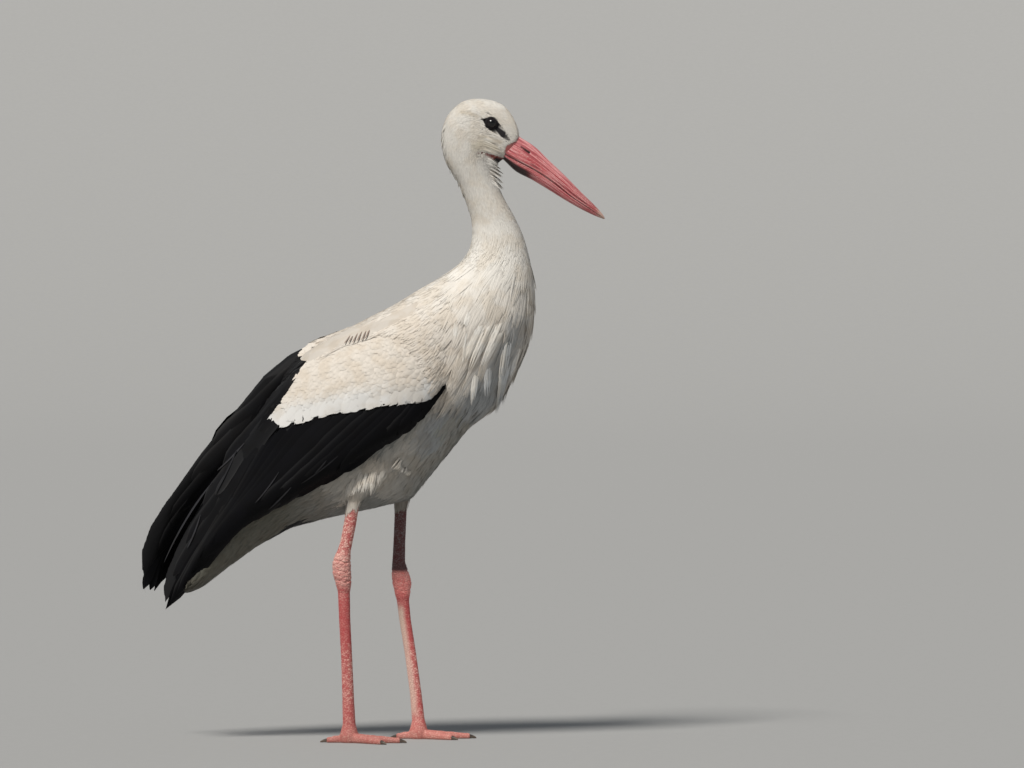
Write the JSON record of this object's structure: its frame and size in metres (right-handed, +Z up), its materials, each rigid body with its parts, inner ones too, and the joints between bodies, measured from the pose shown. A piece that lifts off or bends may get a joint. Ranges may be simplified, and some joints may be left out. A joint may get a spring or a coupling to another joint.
{
  "type": "white stork",
  "caption": "Life-size standing wading bird with white plumage, black flight feathers, a long red bill and long red legs, at rest with folded wings.",
  "frame": {"origin": "on the ground, midway between the bill's tip and the far wing's tip and on the bird's midline", "axes": "+X forwards along the bird, +Z up, the right side is -Y"},
  "size_m": [0.6756, 0.1978, 0.9326],
  "materials": {
    "white_plumage": "soft overlapping white feathers, matte",
    "black_plumage": "stiff black flight feathers with a faint blue sheen",
    "bill": "red horn with fine lengthwise streaks, satin",
    "leg_skin": "red scaly skin with pale dust between the scales",
    "claw": "blunt dark horn",
    "eye": "wet dark eyeball, polished"
  },
  "bodies": {
    "root": {"bill_lower": "bill", "bill_upper": "bill", "breast": "white_plumage", "claw_left_hind": "claw", "claw_left_inner": "claw", "claw_left_middle": "claw", "claw_left_outer": "claw", "claw_right_hind": "claw", "claw_right_inner": "claw", "claw_right_middle": "claw", "claw_right_outer": "claw", "eye_left": "eye", "eye_right": "eye", "foot_left": "leg_skin", "foot_right": "leg_skin", "head": "white_plumage", "hock_left": "leg_skin", "hock_right": "leg_skin", "neck_lower": "white_plumage", "neck_upper": "white_plumage", "rump": "white_plumage", "shank_left": "leg_skin", "shank_right": "leg_skin", "tail": "white_plumage", "tarsus_left": "leg_skin", "tarsus_right": "leg_skin", "thigh_left": "white_plumage", "thigh_right": "white_plumage", "toe_left_hind": "leg_skin", "toe_left_inner": "leg_skin", "toe_left_middle": "leg_skin", "toe_left_outer": "leg_skin", "toe_right_hind": "leg_skin", "toe_right_inner": "leg_skin", "toe_right_middle": "leg_skin", "toe_right_outer": "leg_skin", "trunk": "white_plumage", "wing_left_coverts": "white_plumage", "wing_left_primaries": "black_plumage", "wing_left_secondaries": "black_plumage", "wing_right_coverts": "white_plumage", "wing_right_primaries": "black_plumage", "wing_right_secondaries": "black_plumage"}
  },
  "joints": []
}
